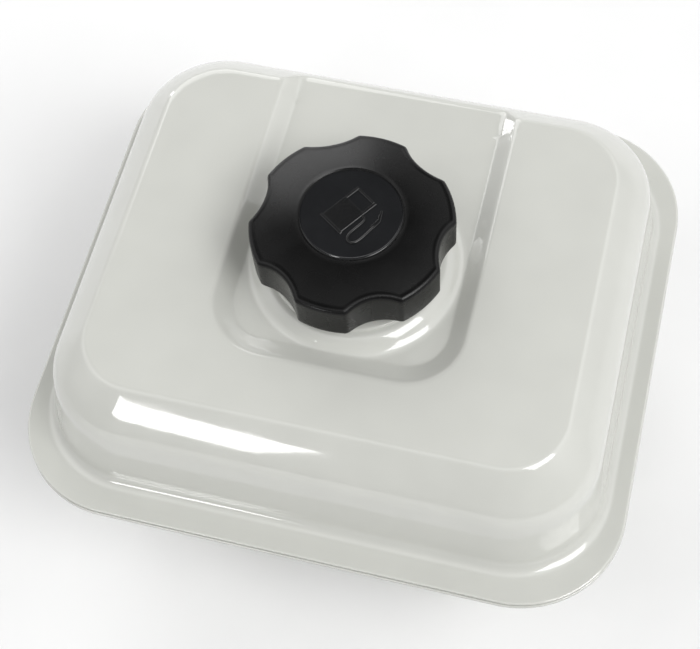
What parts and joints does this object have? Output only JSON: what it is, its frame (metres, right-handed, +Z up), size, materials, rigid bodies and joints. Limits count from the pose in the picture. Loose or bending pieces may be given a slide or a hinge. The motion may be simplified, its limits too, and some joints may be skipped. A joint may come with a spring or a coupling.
{
  "type": "engine fuel tank with bayonet cap",
  "caption": "Small pressed-steel fuel tank with a flat seam flange, a recessed filler neck, a lobed bayonet cap, a bottom outlet and mounting feet.",
  "frame": {"origin": "on the filler's axis, level with the stud ends and the rear foot", "axes": "+Z up along the filler's axis, +X along the flange's long side, +Y towards the open end of the filler recess"},
  "size_m": [0.22, 0.198, 0.1575],
  "materials": {
    "shell_paint": "gloss off-white baked enamel",
    "bracket_paint": "the same enamel over brackets and bush",
    "cap_black": "fine-grained moulded black plastic with a smooth centre disc",
    "plated_steel": "zinc-plated steel",
    "spring_steel": "oiled spring steel",
    "zinc_yellow": "yellow zinc plating",
    "black_rubber": "matte fuel-proof rubber",
    "brass_gauze": "woven brass gauze",
    "filter_felt": "sintered felt",
    "dark_nylon": "moulded nylon"
  },
  "bodies": {
    "tank": {"upper_shell": "shell_paint", "lower_shell": "shell_paint", "filler_neck": "shell_paint", "strainer_frame": "dark_nylon", "strainer_mesh": "brass_gauze", "outlet_bush": "bracket_paint", "outlet_joint": "zinc_yellow", "outlet_o_ring": "black_rubber", "outlet_screen": "brass_gauze", "stud_plate": "bracket_paint", "mounting_studs": "zinc_yellow", "rear_bracket": "bracket_paint"},
    "cap_pin": {"cap_rivet": "plated_steel", "rivet_washer": "plated_steel"},
    "cap": {"cap_cover": "cap_black", "cap_inner_plate": "plated_steel", "cap_gasket": "black_rubber", "vent_filter": "filter_felt", "vent_valve": "black_rubber", "cap_spring": "spring_steel"},
    "bayonet": {"bayonet_plate": "plated_steel"}
  },
  "joints": [
    {"name": "cap_lift", "type": "slide", "parent": "tank", "child": "cap_pin", "axis": [0, 0, 1], "range_m": [0, 0.08]},
    {"name": "cap_turn", "type": "hinge", "parent": "cap_pin", "child": "cap", "pos_m": [0, 0, 0.148], "axis": [0, 0, -1], "range_deg": [0, 90]},
    {"name": "plate_draw", "type": "slide", "parent": "cap", "child": "bayonet", "axis": [0, 0, -1], "range_m": [0, 0.0015], "deforming": ["cap_spring"]}
  ],
  "couplings": [
    {"joint": "plate_draw", "follows": "cap_turn", "m_per_rad": 0.000954}
  ]
}
